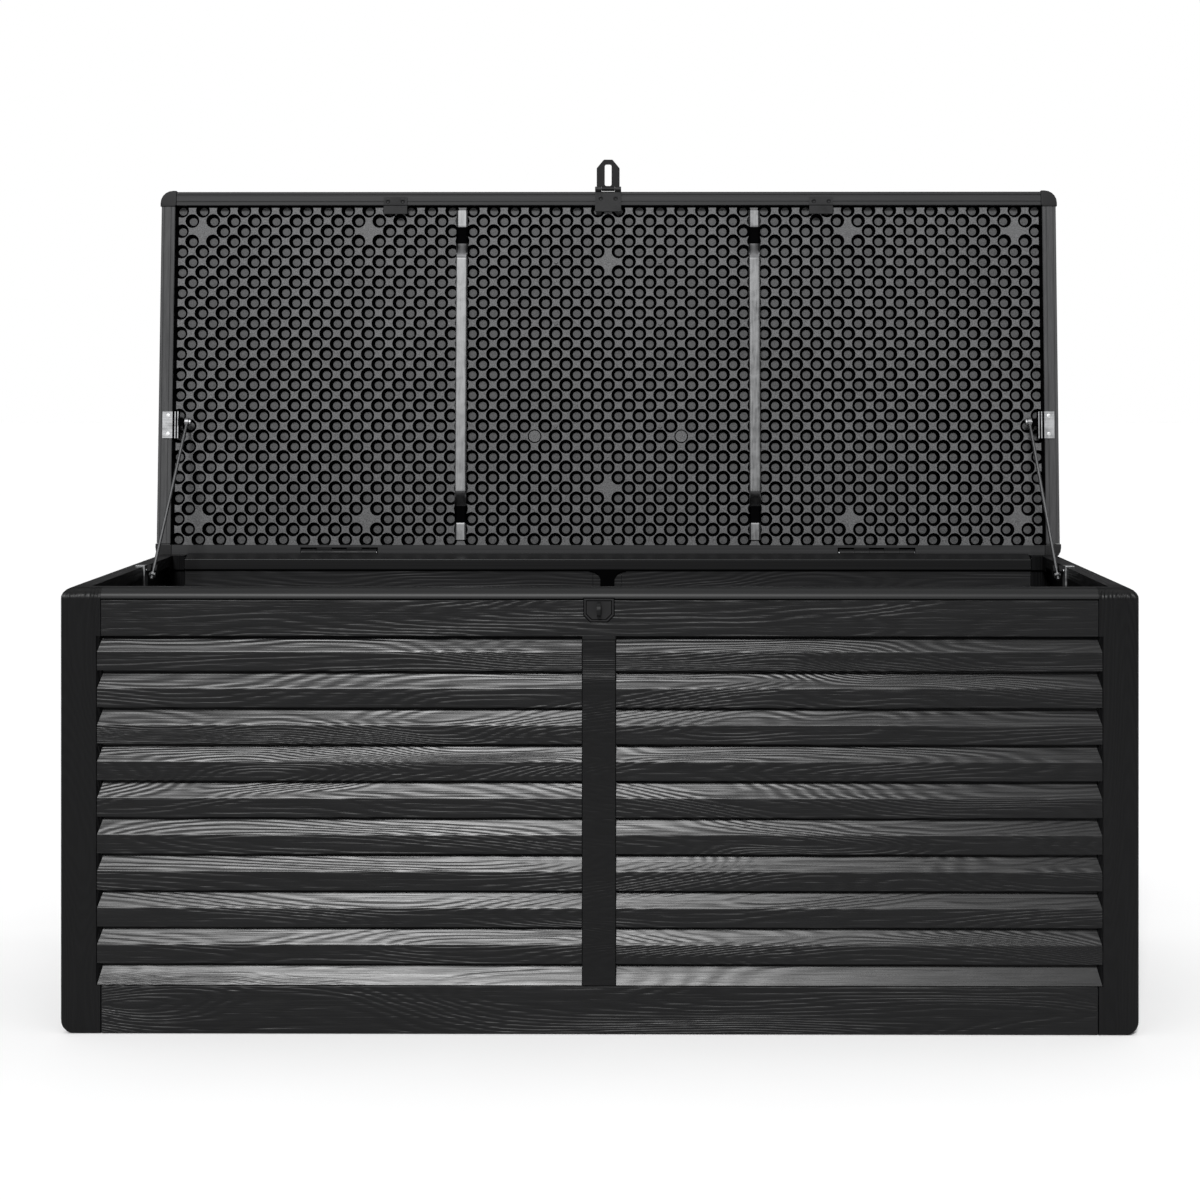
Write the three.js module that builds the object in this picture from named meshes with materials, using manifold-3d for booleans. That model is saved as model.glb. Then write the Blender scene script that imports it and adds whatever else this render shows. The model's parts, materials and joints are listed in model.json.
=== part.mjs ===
// Deck storage box: a louvred resin chest with a hinged lid, two stay rods and a padlock hasp.
// Millimetres, +Z up, +X to the right, the front facing -Y. The origin is under the middle of the body,
// on the surface that the box stands on. The lid stands open against its stays.
import * as THREE from 'three';
import { mergeVertices } from 'three/addons/utils/BufferGeometryUtils.js';
import Module from 'manifold-3d';

// ---------------------------------------------------------------- driving sizes
const bodyWidth = 1450;
const bodyDepth = 578;
const bodyHeight = 600;
const seam = 0.3; // gap between neighbouring mouldings

// Walls
const wallThickness = 24;
const postReach = 54; // length of each leg of a corner post
const postEdgeRadius = 4;
const footRadius = 20; // lower outer edge of the two sides
const footEdge = 3; // lower outer edge of the front and the back
const bottomRailHeight = 65;
const topRailHeight = 49;
const mullionWidth = 45;
const stubHeight = 5; // the top rail's short stub over the mullion

// Rim on top of the walls
const rimHeight = 16;
const rimRadius = 16;
const frontRimDepth = 26;
const sideRimWidth = 36;
const rearRimDepth = 30;
const rearRimHeight = 22;
const rearRimEdge = 2;
const rearRimRise = 2.5; // its outer edge stands this far above the other rims
const rearRimFall = 5.3; // and its inner edge this far below them

// Louvres
const slatCount = 10;
const slatRecess = 12; // depth of the groove between two slats
const slatInset = 1; // the slat faces lie this far behind the rails
const slatSlope = 21; // height of a slat's sloping upper part
const slatGroove = 3.2; // height of the undercut below a slat
const lastSlatHeight = 26; // the lowest slat is a slope only
const ridgeRadius = 6;
const slatEndDraft = 6; // the slat ends lean over the post by this much

// Floor
const floorTop = 26;
const floorThickness = 18;
const floorRibWidth = 20;
const floorRibs = 3; // under each floor panel
const floorBeamWidth = 60;

// Back joiner, seen inside as a strip with a flared top
const joinerStrip = 22;
const joinerFlare = 67;
const joinerFlareHeight = 5;
const joinerFlareSlope = 14;
const joinerProud = 4;

// Lid
const lidGap = 3; // between the rim and the closed lid
const lidHeight = 42;
const lidOverhang = 18; // the lid reaches this far behind the body, over the hinges
const lidRailInset = 2; // the corner caps stand proud of the rails by this much
const lidRailWidth = 22;
const lidRailWeb = 6;
const lidRailFlange = 4;
const lidRailRadius = 10;
const lidCornerReach = 26;
const lidCornerRadius = 20;
const lidCrown = 3; // the panel's raised field above the rails
const openAngle = THREE.MathUtils.degToRad(94);

// Rear hinges
const hingeX = 430;
const hingeLength = 120;
const knuckleCount = 5;
const knuckleRadius = 6;
const hingePinRadius = 2.7;
const hingeBehind = 6.5; // the axis lies this far behind the body
const hingeAbove = 2; // and this far above the rim
const leafThickness = 3;
const leafHeight = 28;
const leafWeb = 4;
const hingeNotch = 2; // the lid is notched round each hinge, this much longer at each end

// Stiffener bars under the lid
const barX = 236;
const barWidth = 18;
const barHeight = 12;
const barTab = 3;
const barTabLength = 26;
const barCrank = 14;
const barEndGap = 8;

// Front clips under the lid
const clipX = 344;
const clipWidth = 38;
const clipThickness = 2;
const clipOnRail = 13;
const clipBlock = 14;

// Hasp
const haspWidth = 42;
const haspThickness = 2;
const haspBarrelRadius = 3.7;
const haspPinRadius = 1.6;
const haspAhead = 2; // its axis lies this far ahead of the closed lid
const haspBlock = 10;
const tongueWidth = 37;
const tongueEndWidth = 14;
const tongueLength = 48;
const tongueTaper = 14;
const slotWidth = 11;
const slotNear = 5;
const slotFar = 40;
const haspKnuckle = 21; // width of the tongue's middle knuckle

// Lock plate and staple on the front
const lockPlateWidth = 42;
const lockPlateBelowRim = 13; // from the top of the rim down to the plate
const lockPlateHeight = 33;
const lockPlateChamfer = 9;
const lockPlateThickness = 2.5;
const stapleBelowRim = 19;
const stapleHeight = 19;
const stapleThickness = 5;
const stapleReach = 14;
const stapleHole = 3.5;

// Stays
const stayX = 675; // both stay rods move in planes this far from the middle
const stayPivotFromHinge = 209;
const stayPivotProud = 8; // the pivot below the closed lid's underside
const guideFromRear = 233;
const guideBelowRim = 6;
const rodRadius = 2.5;
const rodTail = 18.5; // rod beyond the guide when the lid is open
const eyeRadius = 7;
const eyeWidth = 6;
const stayPinRadius = 3;
const stayPinHead = 5;
const stayPinHeadLength = 3;
const nutRadius = 5.5;
const nutLength = 5;
const guideHalfLength = 6;
const guideFloor = 4;
const guideTop = 6;
const guideInnerWall = 3;
const guideOuterWall = 6;
const guideSlotWidth = 6;
const stayPlateThickness = 2;
const stayPlateLength = 43;
const stayPlateAhead = 17.5; // the plate on the lid rail reaches this far ahead of the pivot
const stayPlateInner = 9; // and starts this far from the lid's edge
const stayPlateWidth = 20;
const flangeThickness = 2.5;
const flangeLength = 21;
const flangeBelowPivot = 7;
const rimPlateLength = 20;
const rimPlateThickness = 2;
const rimPlateOnRim = 11;
const rimPlateHang = 30;
const rimPlateWall = 3.2;
const runClearance = 0.3; // radial clearance round every pin

// ---------------------------------------------------------------- places that follow from the sizes
const halfWidth = bodyWidth / 2;
const front = -bodyDepth / 2;
const rear = bodyDepth / 2;
const postInner = halfWidth - postReach;
const railTop = bodyHeight - rimHeight;
const fieldTop = railTop - topRailHeight;
const lidUnder = bodyHeight + lidGap;
const lidTop = lidUnder + lidHeight;
const hingeY = rear + hingeBehind;
const hingeZ = bodyHeight + hingeAbove;
const rearRailTop = bodyHeight - rearRimHeight;
const panelUnder = lidUnder + lidRailFlange + seam;
const panelTop = lidTop - lidRailFlange - seam;
const panelHalfWidth = halfWidth - lidRailInset - lidRailWeb - seam;
const lidHalfDepth = (bodyDepth + lidOverhang) / 2;
const lidMiddle = lidOverhang / 2; // the lid's middle lies this far behind the body's
const panelHalfDepth = lidHalfDepth - lidRailInset - lidRailWeb - seam;
const haspY = front - haspAhead;
const haspZ = lidUnder - seam - haspBarrelRadius;
const lockPlateTop = bodyHeight - lockPlateBelowRim;
const stapleTop = bodyHeight - stapleBelowRim;

const sides = [['left', -1], ['right', 1]];
const ends = [['front', -1], ['rear', 1]];

// ---------------------------------------------------------------- shape helpers
const wasm = await Module();
wasm.setup();

const arcSteps = 5;
const roundSteps = 20;

/** Replaces each corner [a, b, radius] of an outline by an arc of that radius. */
function rounded(points) {
  const outline = [];
  points.forEach(([a, b, radius], i) => {
    const corner = new THREE.Vector2(a, b);
    if (!radius) {
      outline.push(corner);
      return;
    }
    const [pa, pb] = points.at(i - 1);
    const [na, nb] = points[(i + 1) % points.length];
    const back = new THREE.Vector2(pa, pb).sub(corner).normalize();
    const ahead = new THREE.Vector2(na, nb).sub(corner).normalize();
    const half = Math.acos(THREE.MathUtils.clamp(back.dot(ahead), -1, 1)) / 2;
    const middle = back.clone().add(ahead).normalize();
    const centre = corner.clone().addScaledVector(middle, radius / Math.sin(half));
    const first = corner.clone().addScaledVector(back, radius / Math.tan(half)).sub(centre);
    const last = corner.clone().addScaledVector(ahead, radius / Math.tan(half)).sub(centre);
    const sweep = Math.atan2(first.cross(last), first.dot(last));
    for (let step = 0; step <= arcSteps; step += 1) {
      const turned = first.clone().rotateAround(new THREE.Vector2(), (sweep * step) / arcSteps);
      outline.push(turned.add(centre));
    }
  });
  return outline;
}

function circle(radius, a = 0, b = 0, steps = roundSteps) {
  return Array.from({ length: steps }, (_, i) => {
    const angle = (2 * Math.PI * (i + 0.5)) / steps;
    return [a + radius * Math.cos(angle), b + radius * Math.sin(angle)];
  });
}

function extrude(points, holes, length) {
  const shape = new THREE.Shape(rounded(points));
  shape.holes = holes.map((hole) => new THREE.Path(rounded(hole)));
  return new THREE.ExtrudeGeometry(shape, { depth: length, bevelEnabled: false });
}

const axisX = new THREE.Vector3(1, 0, 0);
const axisY = new THREE.Vector3(0, 1, 0);
const axisZ = new THREE.Vector3(0, 0, 1);
const swapped = (points) => points.map(([a, b, radius]) => [b, a, radius]);

/** A prism along X of an outline of [y, z] points. */
function prismX(points, xa, xb, holes = []) {
  const geometry = extrude(points, holes, Math.abs(xb - xa));
  geometry.applyMatrix4(new THREE.Matrix4().makeBasis(axisY, axisZ, axisX));
  return geometry.translate(Math.min(xa, xb), 0, 0);
}

/** A prism along Y of an outline of [x, z] points. */
function prismY(points, ya, yb) {
  const geometry = extrude(swapped(points), [], Math.abs(yb - ya));
  geometry.applyMatrix4(new THREE.Matrix4().makeBasis(axisZ, axisX, axisY));
  return geometry.translate(0, Math.min(ya, yb), 0);
}

/** A prism along Z of an outline of [x, y] points. */
function prismZ(points, za, zb) {
  return extrude(points, [], Math.abs(zb - za)).translate(0, 0, Math.min(za, zb));
}

/** A block between two opposite corners. */
function block(xa, xb, ya, yb, za, zb) {
  const size = [Math.abs(xb - xa), Math.abs(yb - ya), Math.abs(zb - za)];
  return new THREE.BoxGeometry(...size).translate((xa + xb) / 2, (ya + yb) / 2, (za + zb) / 2);
}

function solidOf(geometry) {
  const bare = geometry.clone();
  bare.deleteAttribute('normal');
  bare.deleteAttribute('uv');
  const merged = mergeVertices(bare, 1e-5);
  const vertProperties = new Float32Array(merged.attributes.position.array);
  const triVerts = new Uint32Array(merged.index.array);
  return new wasm.Manifold(new wasm.Mesh({ numProp: 3, vertProperties, triVerts }));
}

function geometryOf(solid) {
  const mesh = solid.getMesh();
  const geometry = new THREE.BufferGeometry();
  geometry.setAttribute('position', new THREE.Float32BufferAttribute(mesh.vertProperties, 3));
  geometry.setIndex(Array.from(mesh.triVerts));
  geometry.computeVertexNormals();
  return geometry;
}

const join = (...parts) => geometryOf(parts.map(solidOf).reduce((whole, part) => whole.add(part)));
const common = (...parts) => geometryOf(parts.map(solidOf).reduce((whole, part) => whole.intersect(part)));
const cut = (base, ...tools) => geometryOf(tools.map(solidOf).reduce((rest, tool) => rest.subtract(tool),
  solidOf(base)));

// ---------------------------------------------------------------- finishes
const resin = { color: 0x3b3c3e, roughness: 0.55, metalness: 0 };
const resinDark = { color: 0x1d1e20, roughness: 0.6, metalness: 0 };
const zinc = { color: 0xb4b7ba, roughness: 0.35, metalness: 0.9 };
const darkSteel = { color: 0x45474a, roughness: 0.4, metalness: 0.8 };

function place(group, name, geometry, finish) {
  const mesh = new THREE.Mesh(geometry, new THREE.MeshStandardMaterial({ name, ...finish }));
  mesh.name = name;
  group.add(mesh);
}

const storageBox = new THREE.Group();

// ---------------------------------------------------------------- louvre profile
/** Outer line of a louvred wall from the top of its field down, as [depth, z, radius] points. */
function louvreLine(top, bottom) {
  const pitch = (top - bottom - lastSlatHeight) / (slatCount - 1);
  const line = [];
  for (let i = 0; i < slatCount - 1; i += 1) {
    const z = top - i * pitch;
    line.push([slatRecess, z]);
    line.push([slatInset, z - slatSlope, ridgeRadius]);
    line.push([slatInset, z - pitch + slatGroove]);
    line.push([slatRecess, z - pitch + slatGroove]);
  }
  line.push([slatRecess, bottom + lastSlatHeight]);
  line.push([slatInset, bottom + seam * 2]);
  line.push([slatInset, bottom]);
  return line;
}

/** A louvred wall with its own rails, as an outline whose first number is the depth behind the face. */
function railedWall(wallTop, fieldBottom, foot) {
  return [
    [0, wallTop], [0, fieldTop], ...louvreLine(fieldTop, fieldBottom), [0, fieldBottom], [0, 0, foot],
    [wallThickness, 0], [wallThickness, wallTop],
  ];
}

// ---------------------------------------------------------------- floor
for (const [side, sign] of sides) {
  const outer = sign * (halfWidth - wallThickness - seam);
  const inner = sign * seam;
  const deep = -front - wallThickness - seam;
  const plate = block(inner, outer, -deep, deep, floorTop - floorThickness, floorTop);
  const ribs = Array.from({ length: floorRibs }, (_, i) => {
    const middle = inner + ((outer - inner) * (i + 1)) / floorRibs - (sign * floorRibWidth) / 2;
    return block(middle - floorRibWidth / 2, middle + floorRibWidth / 2, -deep, deep, 0,
      floorTop - floorThickness);
  });
  place(storageBox, `floor_panel_${side}`, join(plate, ...ribs), resinDark);
}
const beamDepth = rear - wallThickness - seam;
const beamTop = floorTop - floorThickness - seam;
place(storageBox, 'floor_beam',
  block(-floorBeamWidth / 2, floorBeamWidth / 2, -beamDepth, beamDepth, 0, beamTop), resinDark);

// ---------------------------------------------------------------- front wall
const frontInner = front + wallThickness;
const frontSpan = postInner - seam;
place(storageBox, 'front_bottom_rail',
  prismX([[front, 0, footEdge], [frontInner, 0], [frontInner, bottomRailHeight],
    [front, bottomRailHeight]], -frontSpan, frontSpan), resin);

const topRail = [
  [-frontSpan, railTop - seam], [-frontSpan, fieldTop], [-mullionWidth / 2, fieldTop],
  [-mullionWidth / 2, fieldTop - stubHeight], [mullionWidth / 2, fieldTop - stubHeight],
  [mullionWidth / 2, fieldTop], [frontSpan, fieldTop], [frontSpan, railTop - seam],
];
place(storageBox, 'front_top_rail', prismY(topRail, front, frontInner), resin);

const mullionHalf = mullionWidth / 2;
place(storageBox, 'front_mullion',
  block(-mullionHalf, mullionHalf, front, frontInner, bottomRailHeight + seam, fieldTop - stubHeight - seam),
  resin);

/** A wedge beside a post's front edge, where the slat ends lean over it. */
function draftWedge(sign, gap) {
  const x = postInner + gap;
  return prismZ([[sign * (x - 1), front + slatRecess], [sign * (x + slatEndDraft), front],
    [sign * (x + slatEndDraft), front - 1], [sign * (x - 1), front - 1]], bottomRailHeight, fieldTop);
}

for (const [side, sign] of sides) {
  const bottom = bottomRailHeight + seam;
  const top = fieldTop - seam;
  const outline = [...louvreLine(top, bottom).map(([depth, z, radius]) => [front + depth, z, radius]),
    [frontInner, bottom], [frontInner, top]];
  const slab = prismX(outline, sign * (mullionHalf + seam), sign * (postInner + slatEndDraft));
  const room = join(block(0, sign * (postInner - seam), front, frontInner, 0, bodyHeight),
    draftWedge(sign, -seam));
  place(storageBox, `front_panel_${side}`, common(slab, room), resin);
}

// ---------------------------------------------------------------- corner posts
/** Plan of a corner piece with two legs, [x, y, radius]. */
function cornerPlan(signX, signY, sideLeg, endLeg) {
  const x = (inward) => signX * (halfWidth - inward);
  const y = (inward) => signY * (rear - inward);
  return [[x(0), y(0), postEdgeRadius], [x(postReach), y(0)], [x(postReach), y(endLeg)],
    [x(sideLeg), y(endLeg)], [x(sideLeg), y(postReach)], [x(0), y(postReach)]];
}

const sideShape = prismY([[-halfWidth, 0, footRadius], [halfWidth, 0, footRadius],
  [halfWidth, bodyHeight, rimRadius], [-halfWidth, bodyHeight, rimRadius]], front, rear);
const endShape = prismX([[front, 0, footEdge], [rear, 0, footEdge],
  [rear, bodyHeight, rearRimEdge], [front, bodyHeight, rimRadius]], -halfWidth, halfWidth);

for (const [end, signY] of ends) {
  for (const [side, signX] of sides) {
    const endLeg = signY < 0 ? frontRimDepth : rearRimDepth;
    const rimBottom = signY < 0 ? railTop : rearRailTop;
    const post = prismZ(cornerPlan(signX, signY, wallThickness, wallThickness), 0, rimBottom);
    const crown = prismZ(cornerPlan(signX, signY, sideRimWidth, endLeg), rimBottom, bodyHeight);
    const whole = common(join(post, crown), sideShape, endShape);
    const shaped = signY < 0 ? cut(whole, draftWedge(signX, 0)) : whole;
    place(storageBox, `corner_post_${end}_${side}`, shaped, resin);
  }
}

// ---------------------------------------------------------------- side walls and side rims
const sideSpan = rear - postReach - seam;
for (const [side, sign] of sides) {
  const wall = railedWall(railTop - seam, bottomRailHeight, footRadius)
    .map(([depth, z, radius]) => [sign * (halfWidth - depth), z, radius]);
  place(storageBox, `side_panel_${side}`, prismY(wall, -sideSpan, sideSpan), resin);

  const rim = [[sign * halfWidth, railTop], [sign * halfWidth, bodyHeight, rimRadius - seam],
    [sign * (halfWidth - sideRimWidth), bodyHeight], [sign * (halfWidth - sideRimWidth), railTop]];
  place(storageBox, `rim_${side}`, prismY(rim, -sideSpan, sideSpan), resin);
}

// ---------------------------------------------------------------- front and rear rims
place(storageBox, 'rim_front', prismX([[front, railTop], [front, bodyHeight, rimRadius - seam],
  [front + frontRimDepth, bodyHeight], [front + frontRimDepth, railTop]], -frontSpan, frontSpan), resin);
place(storageBox, 'rim_rear', prismX([[rear, rearRailTop], [rear, bodyHeight + rearRimRise, rearRimEdge],
  [rear - rearRimDepth, bodyHeight - rearRimFall], [rear - rearRimDepth, rearRailTop]],
-frontSpan, frontSpan), resin);

// ---------------------------------------------------------------- back wall
const backInner = rear - wallThickness;
for (const [side, sign] of sides) {
  const wall = railedWall(rearRailTop - seam, bottomRailHeight, footEdge)
    .map(([depth, z, radius]) => [rear - depth, z, radius]);
  place(storageBox, `back_panel_${side}`, prismX(wall, sign * (mullionHalf + seam), sign * frontSpan), resin);
}
const joinerTop = rearRailTop - seam;
const flareBottom = joinerTop - joinerFlareHeight - joinerFlareSlope;
const strip = prismY([[-joinerStrip / 2, floorTop + seam], [joinerStrip / 2, floorTop + seam],
  [joinerStrip / 2, flareBottom], [joinerFlare / 2, joinerTop - joinerFlareHeight],
  [joinerFlare / 2, joinerTop], [-joinerFlare / 2, joinerTop],
  [-joinerFlare / 2, joinerTop - joinerFlareHeight], [-joinerStrip / 2, flareBottom]],
backInner - seam - joinerProud, backInner - seam);
const tongue = block(-joinerStrip / 2, joinerStrip / 2, backInner - seam - joinerProud / 2, rear - slatInset,
  floorTop + seam, joinerTop);
const core = block(-mullionHalf, mullionHalf, backInner, rear, 0, joinerTop);
place(storageBox, 'back_joiner', join(core, tongue, strip), resinDark);

// ---------------------------------------------------------------- lock plate and padlock staple
const plateFace = front - lockPlateThickness;
const plateHalf = lockPlateWidth / 2;
const plateBottom = lockPlateTop - lockPlateHeight;
place(storageBox, 'lock_plate', prismY([[-plateHalf, lockPlateTop], [plateHalf, lockPlateTop],
  [plateHalf, plateBottom + lockPlateChamfer], [plateHalf - lockPlateChamfer, plateBottom],
  [lockPlateChamfer - plateHalf, plateBottom], [-plateHalf, plateBottom + lockPlateChamfer]],
plateFace, front), resinDark);

const stapleMiddle = stapleTop - stapleHeight / 2;
const stapleRound = stapleHeight / 2 - seam;
place(storageBox, 'padlock_staple', prismX([[plateFace, stapleTop],
  [plateFace - stapleReach, stapleTop, stapleRound],
  [plateFace - stapleReach, stapleTop - stapleHeight, stapleRound], [plateFace, stapleTop - stapleHeight]],
-stapleThickness / 2, stapleThickness / 2,
[circle(stapleHole, plateFace - stapleReach / 2, stapleMiddle)]), darkSteel);

// ---------------------------------------------------------------- lid, modelled closed and turned open
const lid = new THREE.Group();
lid.position.set(0, hingeY, hingeZ);
lid.rotation.x = -openAngle;
const lidParts = new THREE.Group();
lidParts.position.set(0, -hingeY, -hingeZ);
lid.add(lidParts);
storageBox.add(lid);
const lidShell = new THREE.Group(); // the lid's own panel, rails, corners and bars, centred on their middle
lidShell.position.y = lidMiddle;
lidParts.add(lidShell);

const fieldHalfWidth = halfWidth - lidRailInset - lidRailWidth - seam;
const fieldHalfDepth = lidHalfDepth - lidRailInset - lidRailWidth - seam;
const notchHalf = hingeLength / 2 + hingeNotch;
const notches = sides.map(([, sign]) => block(sign * hingeX - notchHalf, sign * hingeX + notchHalf,
  rear - lidRailInset - lidMiddle, lidHalfDepth, lidUnder - 1, lidTop - lidRailFlange));
place(lidShell, 'lid_panel', cut(join(
  block(-panelHalfWidth, panelHalfWidth, -panelHalfDepth, panelHalfDepth, panelUnder, panelTop),
  block(-fieldHalfWidth, fieldHalfWidth, -fieldHalfDepth, fieldHalfDepth, panelUnder, lidTop + lidCrown)),
...notches), resin);

/** Channel section of a lid rail: [distance from the lid's edge, z, radius]. */
const channel = [
  [lidRailInset, lidUnder], [lidRailInset + lidRailWidth, lidUnder],
  [lidRailInset + lidRailWidth, lidUnder + lidRailFlange],
  [lidRailInset + lidRailWeb, lidUnder + lidRailFlange],
  [lidRailInset + lidRailWeb, lidTop - lidRailFlange],
  [lidRailInset + lidRailWidth, lidTop - lidRailFlange],
  [lidRailInset + lidRailWidth, lidTop], [lidRailInset, lidTop, lidRailRadius],
];
const railSpanX = halfWidth - lidCornerReach - seam;
const railSpanY = lidHalfDepth - lidCornerReach - seam;
for (const [end, sign] of ends) {
  const rail = prismX(channel.map(([inward, z, radius]) => [sign * (lidHalfDepth - inward), z, radius]),
    -railSpanX, railSpanX);
  place(lidShell, `lid_rail_${end}`, sign > 0 ? cut(rail, ...notches) : rail, resin);
}
for (const [side, sign] of sides) {
  place(lidShell, `lid_rail_${side}`,
    prismY(channel.map(([inward, z, radius]) => [sign * (halfWidth - inward), z, radius]),
      -railSpanY, railSpanY), resin);
}

const panelRoom = block(-panelHalfWidth - seam, panelHalfWidth + seam, -panelHalfDepth - seam,
  panelHalfDepth + seam, panelUnder - seam, panelTop + seam);
for (const [end, signY] of ends) {
  for (const [side, signX] of sides) {
    const x = (inward) => signX * (halfWidth - inward);
    const y = (inward) => signY * (lidHalfDepth - inward);
    const cap = prismZ([[x(0), y(0), lidCornerRadius], [x(lidCornerReach), y(0)],
      [x(lidCornerReach), y(lidRailInset + lidRailWidth)],
      [x(lidRailInset + lidRailWidth), y(lidRailInset + lidRailWidth)],
      [x(lidRailInset + lidRailWidth), y(lidCornerReach)], [x(0), y(lidCornerReach)]], lidUnder, lidTop);
    place(lidShell, `lid_corner_${end}_${side}`, cut(cap, panelRoom), resinDark);
  }
}

// ---------------------------------------------------------------- stiffener bars and front clips
const barFront = -fieldHalfDepth + barEndGap;
const barRear = fieldHalfDepth - barEndGap;
const barBase = panelUnder - seam;
for (const [side, sign] of sides) {
  const bar = [
    [barFront, barBase], [barRear, barBase], [barRear, barBase - barTab],
    [barRear - barTabLength, barBase - barTab],
    [barRear - barTabLength - barCrank, barBase - barHeight],
    [barFront + barTabLength + barCrank, barBase - barHeight],
    [barFront + barTabLength, barBase - barTab], [barFront, barBase - barTab],
  ];
  place(lidShell, `stiffener_bar_${side}`,
    prismX(bar, sign * barX - barWidth / 2, sign * barX + barWidth / 2), zinc);

  const clipRear = front + lidRailInset + lidRailWidth;
  const clipTop = lidUnder - seam;
  const clip = [
    [clipRear - clipOnRail, clipTop], [clipRear + seam, clipTop], [clipRear + seam, barBase],
    [clipRear + clipBlock, barBase], [clipRear + clipBlock, clipTop - clipThickness],
    [clipRear - clipOnRail, clipTop - clipThickness],
  ];
  place(lidParts, `lid_clip_${side}`,
    prismX(clip, sign * clipX - clipWidth / 2, sign * clipX + clipWidth / 2), darkSteel);
}

// ---------------------------------------------------------------- hasp
const haspTop = haspZ + haspBarrelRadius;
const haspSide = haspWidth / 2;
const knuckleHalf = haspKnuckle / 2;
const haspBore = circle(haspPinRadius + runClearance, haspY, haspZ);
const haspRail = front + lidRailInset + lidRailWidth + seam;
const haspLeaf = [
  [haspY + haspBarrelRadius + seam, haspTop], [haspRail, haspTop], [haspRail, barBase],
  [haspRail + haspBlock, barBase], [haspRail + haspBlock, haspTop - haspThickness],
  [haspY + haspBarrelRadius + seam, haspTop - haspThickness],
];
const haspEars = sides.map(([, sign]) => join(
  prismX(circle(haspBarrelRadius, haspY, haspZ), sign * (knuckleHalf + seam), sign * haspSide, [haspBore]),
  cut(block(sign * (knuckleHalf + seam), sign * haspSide, haspY, haspY + haspBarrelRadius + 2 * seam,
    haspTop - haspThickness, haspTop),
  prismX(haspBore, -haspSide, haspSide))));
place(lidParts, 'hasp_base', join(prismX(haspLeaf, -haspSide, haspSide), ...haspEars), zinc);
place(lidParts, 'hasp_pin', prismX(circle(haspPinRadius, haspY, haspZ), -haspSide, haspSide), zinc);

const tongueStart = haspY - haspBarrelRadius - seam;
const tongueEnd = haspY - tongueLength;
const tonguePlate = prismZ([
  [-tongueWidth / 2, tongueStart], [tongueWidth / 2, tongueStart],
  [tongueWidth / 2, tongueEnd + tongueTaper, 3], [tongueEndWidth / 2, tongueEnd, 3],
  [-tongueEndWidth / 2, tongueEnd, 3], [-tongueWidth / 2, tongueEnd + tongueTaper, 3]],
haspTop - haspThickness, haspTop);
const slot = prismZ([
  [-slotWidth / 2, haspY - slotNear, 3], [slotWidth / 2, haspY - slotNear, 3],
  [slotWidth / 2, haspY - slotFar, 3], [-slotWidth / 2, haspY - slotFar, 3]],
haspTop - haspThickness - 1, haspTop + 1);
const tongueKnuckle = prismX(circle(haspBarrelRadius, haspY, haspZ), -knuckleHalf, knuckleHalf, [haspBore]);
const tongueNeck = cut(block(-knuckleHalf, knuckleHalf, haspY, tongueStart - seam, haspTop - haspThickness,
  haspTop), prismX(haspBore, -haspSide, haspSide));
place(lidParts, 'hasp_tongue', cut(join(tonguePlate, tongueKnuckle, tongueNeck), slot), zinc);

// ---------------------------------------------------------------- rear hinges
const knuckleLength = (hingeLength - (knuckleCount - 1) * seam) / knuckleCount;
const hingeBore = circle(hingePinRadius + runClearance, hingeY, hingeZ);

/** Every second knuckle of a hinge from the given one, each with the web that ties it to its leaf. */
function knuckles(first, from, web) {
  const made = [];
  for (let i = first; i < knuckleCount; i += 2) {
    const x = from + i * (knuckleLength + seam);
    made.push(prismX(circle(knuckleRadius, hingeY, hingeZ), x, x + knuckleLength, [hingeBore]));
    made.push(cut(prismX(web, x, x + knuckleLength), prismX(hingeBore, x - 1, x + knuckleLength + 1)));
  }
  return made;
}

const bodyLeafY = rear + leafThickness;
const bodyLeafTop = hingeZ - knuckleRadius - 2;
const bodyWeb = [[rear, bodyLeafTop - leafWeb], [bodyLeafY, bodyLeafTop - leafWeb],
  [hingeY, hingeZ - knuckleRadius], [hingeY, hingeZ - hingeAbove], [rear, hingeZ - hingeAbove]];
const lidLeafY = rear - lidRailInset + seam;
const lidLeafBottom = hingeZ + knuckleRadius + 1;
const lidWebBottom = lidUnder + seam;
const lidWeb = [[lidLeafY, lidLeafBottom + leafWeb], [lidLeafY + leafThickness, lidLeafBottom + leafWeb],
  [hingeY, hingeZ + knuckleRadius], [hingeY, lidWebBottom], [lidLeafY, lidWebBottom]];
for (const [side, sign] of sides) {
  const from = sign * hingeX - hingeLength / 2;
  const to = from + hingeLength;
  place(storageBox, `hinge_leaf_body_${side}`,
    join(block(from, to, rear, bodyLeafY, bodyLeafTop - leafHeight, bodyLeafTop),
      ...knuckles(0, from, bodyWeb)), darkSteel);
  place(lidParts, `hinge_leaf_lid_${side}`,
    join(block(from, to, lidLeafY, lidLeafY + leafThickness, lidLeafBottom, lidLeafBottom + leafHeight),
      ...knuckles(1, from, lidWeb)), darkSteel);
  place(storageBox, `hinge_pin_${side}`,
    prismX(circle(hingePinRadius, hingeY, hingeZ), from - 1, to + 1), zinc);
}

// ---------------------------------------------------------------- stays
const pivot = new THREE.Vector2(hingeY - stayPivotFromHinge, lidUnder - stayPivotProud);
const hinge = new THREE.Vector2(hingeY, hingeZ);
const openPivot = pivot.clone().rotateAround(hinge, -openAngle);
const guide = new THREE.Vector2(rear - guideFromRear, bodyHeight - guideBelowRim);
const run = guide.clone().sub(openPivot);
const rodLength = run.length() + rodTail;
const rodSlope = Math.atan2(run.y, run.x) - Math.PI; // a rod modelled along -Y is turned by this

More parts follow.
